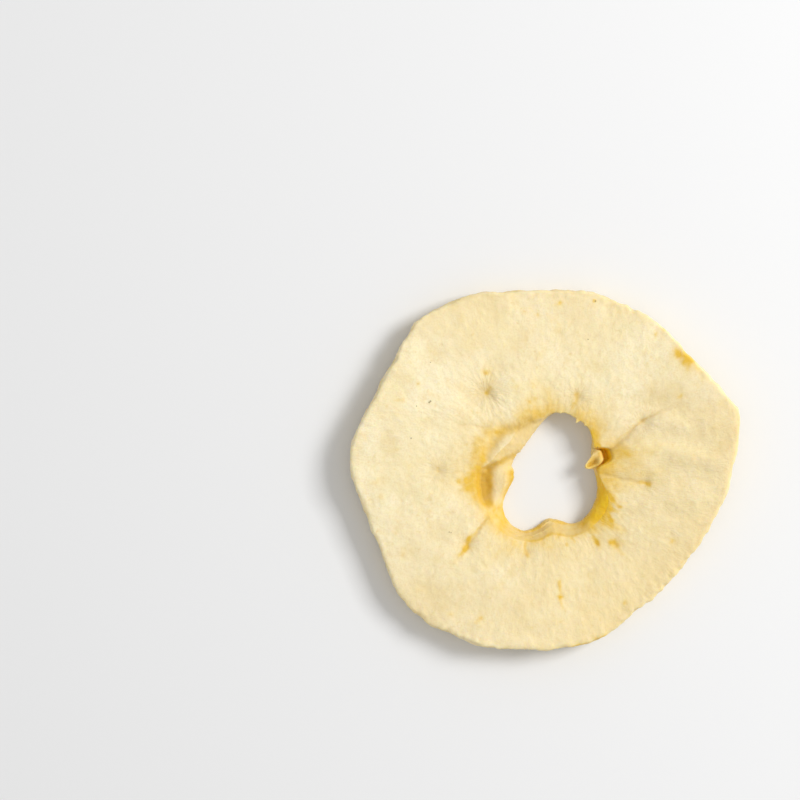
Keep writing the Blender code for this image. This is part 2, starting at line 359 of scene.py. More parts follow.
def mouth_radius(angle):
    """The core hole's top edge, opened by the seed chambers."""
    radius = np.full(angle.shape, CUT_RADIUS)
    for near, depth, _ in stretches(angle, SEED_CHAMBERS, arc_window):
        radius += depth * near
    *lip, depth = TORN_LIP
    return radius - depth * arc_spot(angle, *lip)


def throat_radius(angle):
    """The core hole's bottom edge, cut back under the mouth and narrowed by the shelves."""
    *cut, back = UNDERCUT
    radius = mouth_radius(angle) - LEAST_SHELF + back * arc_window(angle, *cut)
    for near, depth, through in stretches(angle, SEED_CHAMBERS, arc_window):
        radius -= (1 - through) * depth * near
    for near, reach in stretches(angle, SHELVES):
        radius -= reach * near
    return radius


def outward_share(radius, angle):
    """0 at the hole's cut, 1 at the rim."""
    return np.clip((radius - CUT_RADIUS) / (rim_radius(angle) - CUT_RADIUS), 0, 1)


def warp(radius, angle):
    """How far drying has lifted the flesh off the surface it lies on."""
    lift = sum(rise * near for near, rise in stretches(angle, RIM_RISES))
    return lift * outward_share(radius, angle) ** WARP_POWER


def place(radius, angle):
    """The point in the ring's frame at a radius and angle about the hole."""
    heading = np.radians(angle)
    return HOLE_X + radius * np.cos(heading), HOLE_Y + radius * np.sin(heading)


def spots(x, y, table):
    """For rows that start with x and y: the distance to each, and the rest."""
    for spot_x, spot_y, *values in table:
        yield np.hypot(x - spot_x, y - spot_y), *values


def underside_dimples(x, y):
    """The distances to the faint dimples of the lower face."""
    for index in range(LOWER_DIMPLES):
        spot_x, spot_y = place(LOWER_DIMPLE_CIRCLE, 360 * index / LOWER_DIMPLES)
        yield np.hypot(x - spot_x, y - spot_y)


def along_line(x, y, line):
    """The distance from each point to a line, and the share along it where it is nearest."""
    start_x, start_y, end_x, end_y = line
    along_x = end_x - start_x
    along_y = end_y - start_y
    share = ((x - start_x) * along_x + (y - start_y) * along_y) / (along_x ** 2 + along_y ** 2)
    share = np.clip(share, 0, 1)
    return np.hypot(x - start_x - share * along_x, y - start_y - share * along_y), share


def ledge_crease(x, y, widening):
    """1 in the crease between the torn lip and the ledge, and the share along it."""
    away, along = along_line(x, y, LEDGE_CREASE)
    return soft_spot(away, widening * LEDGE_CREASE_HALF_WIDTH), along


def wander(x, y, amount, size, seed):
    """The same places drawn a little aside, so that lines laid there wind."""
    where = flat_points(x, y)
    shift_x, shift_y = (amount * fractal(where, size, 2, index) for index in (seed, seed + 1))
    return x + shift_x, y + shift_y


def crease_share(x, y, middle, sharp):
    """How deep in a crease each point lies: its soft valley, and the sharp line in it."""
    x, y = wander(x, y, 0.45 * MM, 3.2 * MM, 34)
    valley = np.zeros(x.shape)
    for *line, width, depth in CREASES:
        away, along = along_line(x, y, line)
        profile = middle * soft_spot(away, width) + sharp * soft_spot(away, 0.24 * width)
        valley = highest(valley, depth * (1 - 0.5 * along ** 2) * profile)
    return valley


def star_relief(x, y):
    """Fine furrows that run in to the dimples, and wander as they go."""
    relief = np.zeros(x.shape)
    for index, (star_x, star_y, reach, depth, rays) in enumerate(STARS):
        away = np.hypot(x - star_x, y - star_y)
        near = away < 2 * reach
        turn = np.arctan2(y[near] - star_y, x[near] - star_x)
        turn = turn + 0.25 * fractal(flat_points(x[near], y[near]), 2.4 * MM, 2, index + 31)
        furrow = np.zeros(turn.shape)
        for count, length, share in ((rays, 3 * MM, 0.65), (2 * rays, 2.2 * MM, 0.45)):
            spokes = spoke_noise(np.degrees(turn), away[near], count, length, 1, index + 3)
            furrow += share * (1 - 3 * np.abs(spokes))
        fade = soft_spot(away[near], reach) * (1 - soft_spot(away[near], 0.6 * MM))
        relief[near] -= 0.55 * depth * fade * furrow
    return relief


def fold_relief(x, y, angle, share):
    """Soft uneven folds across the right-hand side."""
    where = flat_points(x, y)
    bend = 1.9 * fractal(where, 8 * MM, 2, 11)
    strength = 0.65 + 0.6 * fractal(where, 6 * MM, 1, 12)
    folded = arc_window(angle, FOLD_DIRECTION, FOLD_HALF_WIDTH) * share * (1 - share) * 4
    return folded * strength * FOLD_HEIGHT * np.sin(math.tau * y / FOLD_SPACING + bend)


def core_radius(angle):
    """The edge of the core: the hole's mouth, or the groove where the lip is torn."""
    directions, radii = np.array(CORE_EDGE).T
    torn = (angle > directions[0]) & (angle < directions[-1])
    return np.where(torn, np.interp(angle, directions, radii), mouth_radius(angle))


def lip_share(angle):
    """1 along the torn lip, 0 away from it."""
    return arc_window(angle, *LIP_GROOVE[:2])


def lip_band(radius, angle):
    """1 at the bottom of the groove behind the torn lip, 0 past both its sides."""
    _, _, across, _, inside = LIP_GROOVE
    wavy = 0.3 * MM * fractal(around_ring(angle, HOLE_CIRCLE), 3 * MM, 2, 35)
    return lip_share(angle) * soft_spot(radius - (core_radius(angle) - inside + wavy), across)


def lip_groove(radius, angle):
    """The depth of the groove behind the torn lip, and of the lip's small step down."""
    _, _, across, depth, inside = LIP_GROOVE
    step = smooth_step(core_radius(angle) - inside - radius, -across, across)
    return depth * lip_band(radius, angle) + LIP_STEP * lip_share(angle) * step


def top_relief(x, y, angle, share):
    """Dimples, creases, folds and fine wrinkles of the upper face."""
    relief = star_relief(x, y) + fold_relief(x, y, angle, share)
    for away, radius, depth in spots(x, y, DIMPLES):
        relief -= depth * (0.65 * soft_spot(away, radius) + 0.35 * soft_spot(away, 0.3 * radius))
    return relief - crease_share(x, y, 0.6, 0.4)


def rim_wave(radius, angle, seed):
    """Small waves of the dried rim, gone a few millimetres in from it."""
    near_rim = smooth_step(radius, rim_radius(angle) - 6 * MM, rim_radius(angle))
    return RIM_WAVE * near_rim * fractal(around_ring(angle, RIM_CIRCLE), 6 * MM, 3, seed)


def top_height(radius, angle):
    """The upper face."""
    x, y = place(radius, angle)
    share = outward_share(radius, angle)
    flesh = THICKNESS - RIM_THINNING * share ** 3
    dip = MOUTH_DIP * np.exp(-np.maximum(radius - mouth_radius(angle), 0) / MOUTH_DIP_REACH)
    *right, lift = RIGHT_LIFT
    lifted = highest(LIP_LIFT * lip_share(angle), lift * arc_window(angle, *right))
    relief = top_relief(x, y, angle, share) + rim_wave(radius, angle, 43)
    return flesh + warp(radius, angle) + relief - dip * (1 - lifted)


def bottom_height(radius, angle):
    """The lower face: flat where it rests, with its own dimples where it doesn't."""
    x, y = place(radius, angle)
    dimples = np.zeros(x.shape)
    for away in underside_dimples(x, y):
        dimples += LOWER_DIMPLE_DEPTH * soft_spot(away, LOWER_DIMPLE_RADIUS)
    lift = warp(radius, angle) + dimples + rim_wave(radius, angle, 44)
    return np.maximum(lift - REST_SINK, 0)


def roughness(angle):
    """How rough the peeler left each stretch of the rim: 1 where it cut cleanly."""
    return 1 + sum(more * near for near, more in stretches(angle, ROUGH_STRETCHES))


def ragged_rim(angle):
    """The rim's upper edge with its nicks and the fine unevenness of peeled flesh."""
    circle = around_ring(angle, RIM_CIRCLE)
    uneven = 0.11 * MM * fractal(circle, 3.6 * MM, 3, 1)
    crumbly = 0.09 * MM * roughness(angle) * fractal(circle, 1.3 * MM, 3, 13)
    nicks = sum(depth * near for near, depth in stretches(angle, RIM_NICKS))
    return rim_radius(angle) + uneven + crumbly - nicks


def ragged_mouth(angle):
    """The hole's top edge, uneven and with a few torn teeth."""
    circle = around_ring(angle, 10 * MM)
    uneven = 0.2 * MM * fractal(circle, 3 * MM, 3, 14)
    fine = 0.07 * MM * fractal(circle, 0.7 * MM, 2, 48)
    teeth = sum(reach * near for near, reach in stretches(angle, TORN_TEETH))
    return mouth_radius(angle) + uneven + fine - teeth


def ragged_throat(angle):
    """The hole's bottom edge, torn along the lip."""
    circle = around_ring(angle, HOLE_CIRCLE)
    lip = lip_share(angle)
    uneven = 0.12 * MM * (1 + lip) * fractal(circle, 1.6 * MM, 3, 2)
    return throat_radius(angle) + uneven + 0.09 * MM * lip * fractal(circle, 0.6 * MM, 2, 47)


def wall_radius(share, angle, mouth, throat):
    """From the throat to the mouth, each edge's raggedness dying away between them."""
    smooth_mouth = mouth_radius(angle)
    smooth_throat = throat_radius(angle)
    radius = smooth_throat + (smooth_mouth - smooth_throat) * share
    return radius + (throat - smooth_throat) * (1 - share) ** 4 + (mouth - smooth_mouth) * share ** 4


def wall_height(share, angle):
    """The wall's height, 0 to 1, at a share of its width: a slope with pockets in it."""
    power = WALL_POWER
    for near, rounder in stretches(angle, ROUNDER_WALLS, arc_window):
        power = power + (rounder - WALL_POWER) * near
    height = share ** power
    for near, start, end, floor_at, ridge, floor in stretches(angle, POCKETS, arc_window):
        pocket = ridge * smooth_step(share, 0, start)
        pocket = pocket - (ridge - floor) * smooth_step(share, end, floor_at)
        pocket = pocket + (1 - floor) * smooth_step(share, 0.4 * floor_at + 0.6, 1)
        height = height + (pocket - height) * near
    return height


def wall_membranes(share, angle):
    """Thin ragged ridges left by the seed chambers' walls."""
    circle = around_ring(angle, HOLE_CIRCLE)
    height = 0
    membranes = stretches(angle, WALL_MEMBRANES, arc_window)
    for index, (near, where, thin, rise) in enumerate(membranes):
        winding = where + 0.05 * fractal(circle, 3 * MM, 2, 24 + index)
        ragged = np.clip(0.8 + 0.7 * fractal(circle, 1.2 * MM, 2, 26 + index), 0.2, 1.3)
        height = height + rise * ragged * near * soft_spot(share - winding, thin)
    return height


def beak_hollow(share, angle):
    """1 in the groove along the beak's middle, 0 outside it."""
    across = arc_spot(angle, BEAK_DIRECTION, BEAK_GROOVE_HALF_WIDTH)
    return across * smooth_step(share, 0.2, 0.27) * (1 - smooth_step(share, 0.36, 0.46))


def beak_shift(share, angle):
    """How far the small chamber's wall is drawn out into a beak over the hole."""
    across = arc_spot(angle, BEAK_DIRECTION, BEAK_HALF_WIDTH)
    along = smooth_step(share, 0.08, 0.18) * np.clip((0.52 - share) / 0.3, 0, 1)
    heading = math.radians(BEAK_HEADING)
    reach = BEAK_REACH * across * along
    return reach * math.cos(heading), reach * math.sin(heading)


def wall_shares():
    """Even shares of the wall's width, one for each section point on it."""
    return np.linspace(0, 1, WALL_STEPS, endpoint=False)[None, :]


def wall_stretch(angle, mouth, throat):
    """Section points up the hole's wall, from its throat to its mouth."""
    share = wall_shares()
    bottom = bottom_height(throat + EDGE_ROUND, angle) + EDGE_ROUND
    top = top_height(mouth, angle)
    height = bottom + (top - bottom) * wall_height(share, angle)
    height = height + wall_membranes(share, angle) - BEAK_GROOVE_DEPTH * beak_hollow(share, angle)
    radius = wall_radius(share, angle, mouth, throat)
    height = height - lip_groove(radius, angle) * smooth_step(share, 0.1, 0.6)
    crease, along = ledge_crease(*place(radius, angle), 1)
    return radius, height - LEDGE_CREASE_DEPTH * (1 - 0.7 * along) * crease


def top_stretch(angle, mouth, rim):
    """Section points along the upper face, closer together near the hole."""
    share = np.linspace(0, 1, TOP_STEPS, endpoint=False)[None, :] ** 1.12
    radius = mouth + (rim - RIM_NOSE - mouth) * share
    return radius, top_height(radius, angle) - lip_groove(radius, angle)


def nose_stretch(angle, rim):
    """Section points round the rim's blunt nose, ragged above and smoother below."""
    turn = np.linspace(1, -1, NOSE_STEPS)[None, :]
    tilt = np.sign(turn) * np.abs(turn) ** 1.5 * math.pi / 2
    out = np.maximum(np.cos(tilt), 0) ** (2 / NOSE_SQUARENESS)
    rise = np.sign(tilt) * np.abs(np.sin(tilt)) ** (2 / NOSE_SQUARENESS)
    ragged = RAGGED_BELOW + (1 - RAGGED_BELOW) * smooth_step(rise, 0.35, 1)
    back = rim_radius(angle) + (rim - rim_radius(angle)) * ragged - RIM_NOSE
    circle = around_ring(angle, RIM_CIRCLE)
    pinch = SIDE_PINCH * (1 + 1.2 * fractal(circle, 5 * MM, 2, 28))
    waist = 0.35 * fractal(circle, 8 * MM, 2, 45)
    back = back - pinch * soft_spot(rise + 0.1 - waist, 0.42)
    top = top_height(rim - RIM_NOSE, angle)
    bottom = bottom_height(rim - RIM_NOSE, angle)
    return back + RIM_NOSE * out, (top + bottom) / 2 + (top - bottom) / 2 * rise


def bottom_stretch(angle, rim, throat):
    """Section points along the lower face, from the nose to the throat."""
    share = np.linspace(0, 1, BOTTOM_STEPS + 1)[None, 1:]
    outer = rim_radius(angle) + RAGGED_BELOW * (rim - rim_radius(angle)) - RIM_NOSE
    radius = outer + (throat + EDGE_ROUND - outer) * share
    return radius, bottom_height(radius, angle)


def soften(values, weight, rounds):
    """Draws each value towards its neighbours along the section, by its weight."""
    for _ in range(rounds):
        neighbours = (np.roll(values, 1, axis=1) + np.roll(values, -1, axis=1)) / 2
        values = values + weight * (neighbours - values)
    return values


def ring_surface():
    """The swept skin's points, with the angle, radius and stretch of each."""
    angle = (np.arange(ROUND_STEPS) * 360 / ROUND_STEPS)[:, None]
    mouth = ragged_mouth(angle)
    throat = ragged_throat(angle)
    rim = ragged_rim(angle)
    parts = (
        wall_stretch(angle, mouth, throat),
        top_stretch(angle, mouth, rim),
        nose_stretch(angle, rim),
        bottom_stretch(angle, rim, throat),
    )
    radius = np.concatenate([part[0] for part in parts], axis=1)
    height = np.concatenate([part[1] for part in parts], axis=1)
    steps = [part[0].shape[1] for part in parts]
    kind = np.broadcast_to(np.repeat((WALL, TOP, NOSE, BOTTOM), steps), radius.shape)
    edge = 0.9 * soft_spot(radius - mouth, 0.7 * MM) * (kind <= TOP)
    radius = soften(radius, edge, 3)
    height = soften(height, edge, 3)
    x, y = place(radius, angle)
    shift_x, shift_y = beak_shift(wall_shares(), angle)
    x[:, :WALL_STEPS] += shift_x
    y[:, :WALL_STEPS] += shift_y
    return np.stack([x, y, height], axis=-1), angle, radius, kind


def grid_normals(points):
    """Outward normals of the swept skin, from its neighbours round and along."""
    around = np.roll(points, -1, axis=0) - np.roll(points, 1, axis=0)
    along = np.roll(points, -1, axis=1) - np.roll(points, 1, axis=1)
    normals = np.cross(along, around)
    length = np.linalg.norm(normals, axis=-1, keepdims=True)
    return normals / np.maximum(length, 1e-12)


def creases_round(points, angle, radius, count, length, size, seed):
    """Creases between low pillows, drawn out along the radius or across it."""
    turn = 2.6 * fractal(points, size, 2, seed + 1)
    return 2.4 * np.abs(spoke_noise(angle + turn, radius, count, length, 2, seed)) - 0.5


def crease_strength(points, angle, radius):
    """Where the fine creases are: in patches, on the right and near the core."""
    patches = np.clip(0.35 + 1.3 * fractal(points, 9 * MM, 2, 16), 0, 1)
    right = 0.75 * arc_window(angle, -4, 50)
    near_core = soft_spot(radius - core_radius(angle), 5.5 * MM)
    calm = arc_window(angle, 130, 78)
    return highest(0.55 * patches, right, near_core * (0.8 - 0.65 * calm))


def crease_relief(points, angle, radius):
    """Fine creases out from the hole, with ripples across them behind the lip."""
    share = outward_share(radius, angle)
    inner = creases_round(points, angle, radius, 62, 2.6 * MM, 4 * MM, 6)
    outer = creases_round(points, angle, radius, 124, 3 * MM, 4 * MM, 15)
    ripple = creases_round(points, angle, radius, 18, 1.2 * MM, 3 * MM, 36)
    strength = crease_strength(points, angle, radius)
    behind_lip = soft_spot(np.hypot(points[..., 0] + 8.5 * MM, points[..., 1] - 9 * MM), 6 * MM)
    radial = (inner * (1 - share) + 0.75 * outer * share) * strength * (1 - 0.6 * behind_lip)
    return radial + ripple * behind_lip


def side_wrinkles(points, angle):
    """Wrinkles of the peeled side, some upright and some along it."""
    bent = points + 1.5 * MM * fractal(points * (0.5, 0.5, 1), 2.2 * MM, 2, 46)[..., None]
    upright = 1 - 2.6 * np.abs(fractal(bent * (1, 1, 0.75), 2.3 * MM, 3, 38))
    along = 1 - 2.6 * np.abs(fractal(points * (0.35, 0.35, 1), 1.3 * MM, 2, 39))
    dents = fractal(points, 4 * MM, 2, 41)
    patches = np.clip(0.5 + 1.4 * fractal(points, 6 * MM, 2, 40), 0, 1.2)
    rim = rim_radius(angle)
    middle = (top_height(rim, angle) + bottom_height(rim, angle)) / 2
    inside = soft_window(points[..., 2] - middle, 0.5 * THICKNESS)
    wrinkles = 0.07 * MM * upright * patches + 0.12 * MM * along * (1.2 - patches)
    return inside * (0.3 * MM * dents - wrinkles)


def fine_relief(points, angle, radius, kind):
    """Low hills, creases and suede of the skin, and the rougher cut flesh of the rim."""
    hills = 0.13 * MM * fractal(points, 5.5 * MM, 2, 4)
    pebbles = 0.05 * MM * (2 * np.abs(fractal(points, 1.7 * MM, 2, 17)) - 0.4)
    suede = 0.035 * MM * fractal(points, 0.8 * MM, 2, 5)
    faces = (kind == TOP) | (kind == BOTTOM)
    creases = 0.05 * MM * crease_relief(points, angle, radius) * faces
    rim = rim_radius(angle)
    near_rim = smooth_step(radius, rim - 1.8 * MM, rim - 0.6 * MM)
    rough = roughness(angle) * (1 - 0.55 * (kind == NOSE))
    torn = 0.11 * MM * rough * near_rim * fractal(points, 1.3 * MM, 3, 7)
    side = side_wrinkles(points, angle) * (kind == NOSE)
    relief = hills + pebbles + suede + creases + torn + side
    resting = (kind == BOTTOM) & (points[..., 2] < 0.02 * MM)
    return np.where(resting, np.clip(relief, -0.02 * MM, 0), relief)


def add_object(name, data):
    """A new object in the scene."""
    item = bpy.data.objects.new(name, data)
    bpy.context.scene.collection.objects.link(item)
    return item


def add_mesh(name, points):
    """A mesh object from a grid of points that closes on itself round and along."""
    rounds, steps = points.shape[:2]
    rows = np.arange(rounds)[:, None] * steps
    next_rows = ((np.arange(rounds) + 1) % rounds)[:, None] * steps
    here = np.arange(steps)[None, :]
    after = (here + 1) % steps
    faces = np.stack([rows + here, next_rows + here, next_rows + after, rows + after], axis=-1)
    mesh = bpy.data.meshes.new(name)
    mesh.from_pydata(points.reshape(-1, 3).tolist(), [], faces.reshape(-1, 4).tolist())
    mesh.shade_smooth()
    return add_object(name, mesh)


def add_mask(piece, name, values):
    """Stores one number for each vertex, for the material to read."""
    attribute = piece.data.attributes.new(name, "FLOAT", "POINT")
    attribute.data.foreach_set("value", np.clip(values, 0, 1).astype(np.float32).ravel())


def halo_mask(points, angle, radius):
    """Golden flesh round the core, feathered outwards, and a faint wide stain on the left."""
    directions, strengths, reaches = np.array(HALO).T
    strength = np.interp(angle, directions, strengths, period=360)
    fingers = 0.1 + 0.8 * arc_window(angle, -30, 30)
    uneven = fingers * spoke_noise(angle, radius, 60, 4 * MM, 2, 29)
    uneven = uneven + 0.5 * fractal(points, 2.6 * MM, 3, 49)
    reach = np.interp(angle, directions, reaches, period=360) * np.clip(1 + uneven, 0.35, 1.9)
    away = radius - core_radius(angle)
    outwards = np.exp(-np.maximum(away / reach, 0) ** 1.5)
    band = strength * np.where(away > 0, outwards, soft_spot(away, 0.7 * MM))
    stain = 0.36 * arc_window(angle, 172, 24) * soft_window(away, 8.2 * MM)
    patchy = np.clip(0.93 + 0.38 * fractal(points, 3 * MM, 3, 8), 0.55, 1.12)
    return highest(1.2 * band, stain) * patchy


def vein_mask(points):
    """Golden veins, flecks and the hearts of the dimples, and the one patch of painted shade among
    the flecks.
    """
    x, y = wander(points[..., 0], points[..., 1], 0.3 * MM, 1.6 * MM, 9)
    broken = np.clip(0.97 + 0.4 * fractal(points, 1.1 * MM, 2, 19), 0.7, 1.2)
    mask = np.zeros(x.shape)
    for *line, width, first, last in VEINS:
        away, share = along_line(x, y, line)
        strength = first + (last - first) * share
        profile = 0.66 * soft_spot(away, width) + 0.38 * soft_spot(away, 2.7 * width)
        mask = highest(mask, strength * broken * profile)
    for away, radius, strength in spots(x, y, FLECKS):
        profile = 0.75 * soft_spot(away, radius) + 0.25 * soft_spot(away, 2.2 * radius)
        mask = highest(mask, strength * broken * profile)
    for away, radius, depth in spots(x, y, DIMPLES):
        heart = 0.8 * depth / FULL_DIMPLE * soft_spot(away, 0.24 * radius)
        mask = highest(mask, heart, 0.25 * broken * soft_spot(away, 0.7 * radius))
    return mask


def underside_mask(points, angle, radius):
    """Gold round the hole's lower edge and in the lower dimples."""
    mask = 0.5 * soft_spot(radius - throat_radius(angle), 1.6 * MM)
    for away in underside_dimples(points[..., 0], points[..., 1]):
        mask = highest(mask, 0.7 * soft_spot(away, 0.35 * LOWER_DIMPLE_RADIUS))
    return mask


def painted_shade_mask(points, angle, radius, share, wall):
    """Painted shade, brownish gold: behind the lip and in the crease under it, in the creases, along
    the left chamber's edge where the light catches it, in the left chamber, on the lower wall, in
    the beak's groove and in and round the dimples.
    """
    x, y = points[..., 0], points[..., 1]
    uneven = np.clip(0.9 + 0.6 * fractal(points, 2.2 * MM, 2, 33), 0.3, 1.3)
    torn = highest(0.42 * lip_band(radius, angle) * uneven, 0.3 * ledge_crease(x, y, 0.8)[0])
    left = arc_window(angle, *LEFT_CHAMBER)
    # Painted shade along the left chamber's edge, which the light catches
    left_edge = 0.35 * left * soft_spot(radius - mouth_radius(angle), 0.9 * MM)
    face = highest(torn, left_edge, crease_share(x, y, 0.25, 0.35) / FULL_CREASE)
    for away, spot, depth in spots(x, y, DIMPLES):
        heart = 0.35 * depth / FULL_DIMPLE * soft_spot(away, 0.22 * spot)
        face = highest(face, heart, 0.22 * soft_spot(away, 0.8 * spot))
    # Painted shade in the left chamber's pocket and at the foot of its wall
    recess = 0.7 * soft_window(share - 0.76, 0.17) + 0.36 * soft_spot(share, 0.18)
    lower = 0.25 * arc_window(angle, -88, 34)
    beak = 0.25 * arc_window(angle, BEAK_DIRECTION, 1.2 * BEAK_HALF_WIDTH) * (share < 0.5)
    beak = beak + 0.8 * beak_hollow(share, angle)
    inside = highest(torn + 0.17 * lip_share(angle), left * (0.1 + recess), lower, beak)
    return np.where(wall, inside, face)


def wall_mask(points, angle, share):
    """How golden the wall is: deep in the open chambers, pale on the ledge and the lip, with painted
    shade in the crease under the lip.
    """
    gold = np.full(points.shape[:2], 0.5)
    throat = soft_spot(share, 0.12)
    mouth = soft_spot(1 - share, 0.14)
    zones = (
        (125, 42, 0.3 + 0.1 * throat),
        (-169, 21, 0.1 + 0.8 * soft_spot(share, 0.24) + 0.9 * smooth_step(share, 0.48, 0.66)),
        (-134, 11, 0.75),
        (-88, 30, 0.42 + 0.4 * soft_spot(share - 0.12, 0.1) + 0.3 * mouth),
        (-25, 26, 1 - 0.2 * throat),
        (15, 13, 0.55 + 0.4 * smooth_step(share, 0.46, 0.62)),
    )
    for near, value in stretches(angle, zones, arc_window):
        gold = gold + near * (value - gold)
    # Painted shade: the torn lip's shadow on the ledge, drawn gold
    crease = ledge_crease(points[..., 0], points[..., 1], 1.8)[0]
    gold = highest(gold, 0.75 * crease, 0.9 * beak_hollow(share, angle))
    return gold * np.clip(0.95 + 0.4 * fractal(points, 1.8 * MM, 2, 20), 0.4, 1.1)


def amber_and_painted_glow_mask(angle, share):
    """Amber where a chamber is deepest, and a painted glow on the hole's right wall: gold made
    brighter to stand in for light shining through the flesh.
    """
    pocket = arc_window(angle, *SMALL_CHAMBER) * smooth_step(share, 0.52, 0.64)
    # Painted light on the right wall, which faces away from the key light
    right = 0.75 * arc_window(angle, -26, 24) * smooth_step(share, 0, 0.3)
    return highest(pocket, 0.5 * beak_hollow(share, angle), right)


def feed(tree, node, inputs):
    """Sets a node's inputs, each to a value or from another node's socket."""
    for key, value in dict(inputs).items():
        if isinstance(value, bpy.types.NodeSocket):
            tree.links.new(value, node.inputs[key])
        else:
            node.inputs[key].default_value = value


def new_node(tree, kind, inputs=(), **settings):
    """A new node with its settings and inputs."""
    node = tree.nodes.new("ShaderNode" + kind)
    for key, value in settings.items():
        setattr(node, key, value)
    feed(tree, node, inputs)
    return node


def srgb(*values):
    """A linear colour from 0 to 255 screen values."""
    shares = [value / 255 for value in values]
    linear = [s / 12.92 if s <= 0.04045 else ((s + 0.055) / 1.055) ** 2.4 for s in shares]
    return (*linear, 1)


def mask_node(tree, name):
    """A mask that add_mask stored."""
    return new_node(tree, "Attribute", attribute_name=name).outputs["Fac"]


def noise_node(tree, where, scale, detail, coarse=0.5, output="Fac"):
    """Soft noise, about 0 to 1."""
    inputs = {"Vector": where, "Scale": scale, "Detail": detail, "Roughness": coarse}
    return new_node(tree, "TexNoise", inputs).outputs[output]


def ramp_node(tree, value, low, high, top=1):
    """A value spread from low..high to 0..top, with a soft rise."""
    inputs = {"Value": value, "From Min": low, "From Max": high, "To Max": top}
    node = new_node(tree, "MapRange", inputs, interpolation_type="SMOOTHSTEP")
    return node.outputs["Result"]


def span_node(tree, value, low, high):
    """A value from 0 to 1 spread evenly over low..high."""
    inputs = {"Value": value, "To Min": low, "To Max": high}
    return new_node(tree, "MapRange", inputs).outputs["Result"]


def math_node(tree, operation, *values):
    """An operation on values that are each a socket or a number."""
    return new_node(tree, "Math", enumerate(values), operation=operation).outputs[0]


def vector_node(tree, operation, *values):
    """The same for vectors, each a socket or a tuple."""
    node = new_node(tree, "VectorMath", enumerate(values), operation=operation)
    return node.outputs["Value" if operation == "LENGTH" else "Vector"]


def mix_node(tree, share, under, over):
    """Colour over on colour under, by share."""
    inputs = {0: share, 6: under, 7: over}
    return new_node(tree, "Mix", inputs, data_type="RGBA").outputs[2]


def tint_node(tree, colour, share, most, tint):
    """A colour drawn to a tint in screen values, by a share of the most it may be."""
    return mix_node(tree, math_node(tree, "MULTIPLY", share, most), colour, srgb(*tint))


def spoke_nodes(tree, where, middle, spokes, length):
    """Creases like spokes: their height, 0 in a crease, and the distance from their middle."""
    amount = 1.6 * MM
    bend = noise_node(tree, where, 350, 2, output="Color")
    start = (-middle[0] - amount / 2, -middle[1] - amount / 2, 0)
    shift = vector_node(tree, "MULTIPLY_ADD", bend, (amount, amount, 0), start)
    away = vector_node(tree, "MULTIPLY", vector_node(tree, "ADD", where, shift), (1, 1, 0))
    distance = vector_node(tree, "LENGTH", away)
    circle = (spokes / math.tau, spokes / math.tau, 0)
    ring = vector_node(tree, "MULTIPLY", vector_node(tree, "NORMALIZE", away), circle)
    run = math_node(tree, "MULTIPLY", distance, 1 / length)
    run = new_node(tree, "CombineXYZ", {"Z": run}).outputs["Vector"]
    streaks = noise_node(tree, vector_node(tree, "ADD", ring, run), 1, 2)
    height = math_node(tree, "ABSOLUTE", math_node(tree, "SUBTRACT", streaks, 0.5))
    return ramp_node(tree, height, 0, 0.16), distance


def star_nodes(tree, where):
    """The finest furrows that run in to the dimples, as a depth."""
    total = 0
    for x, y, reach, depth, rays in STARS:
        height, distance = spoke_nodes(tree, where, (x, y), 2.2 * rays, 2.5 * MM)
        near = ramp_node(tree, distance, 1.3 * reach, 0.1 * reach, depth / STARS[0][3])
        near = math_node(tree, "MULTIPLY", near, ramp_node(tree, distance, 0, 1.1 * MM))
        furrow = math_node(tree, "SUBTRACT", 1, height)
        total = math_node(tree, "MULTIPLY_ADD", near, furrow, total)
    return total


def furrow_nodes(tree, where):
    """The depth of the fine furrows, round the dimples and out from the hole."""
    height, _ = spoke_nodes(tree, where, (HOLE_X, HOLE_Y), 250, 2.4 * MM)
    furrow = math_node(tree, "SUBTRACT", 1, height)
    streak = math_node(tree, "MULTIPLY", mask_node(tree, "streak"), furrow)
    return math_node(tree, "MULTIPLY_ADD", streak, 0.6, star_nodes(tree, where))


def speck_nodes(tree, where):
    """1 inside any of the dark specks."""
    total = 0
    for x, y, radius in SPECKS:
        away = vector_node(tree, "MULTIPLY_ADD", where, (1, 1, 0), (-x, -y, 0))
        distance = vector_node(tree, "LENGTH", away)
        speck = ramp_node(tree, distance, 1.5 * radius, 0.5 * radius)
        total = math_node(tree, "ADD", speck, total)
    return total


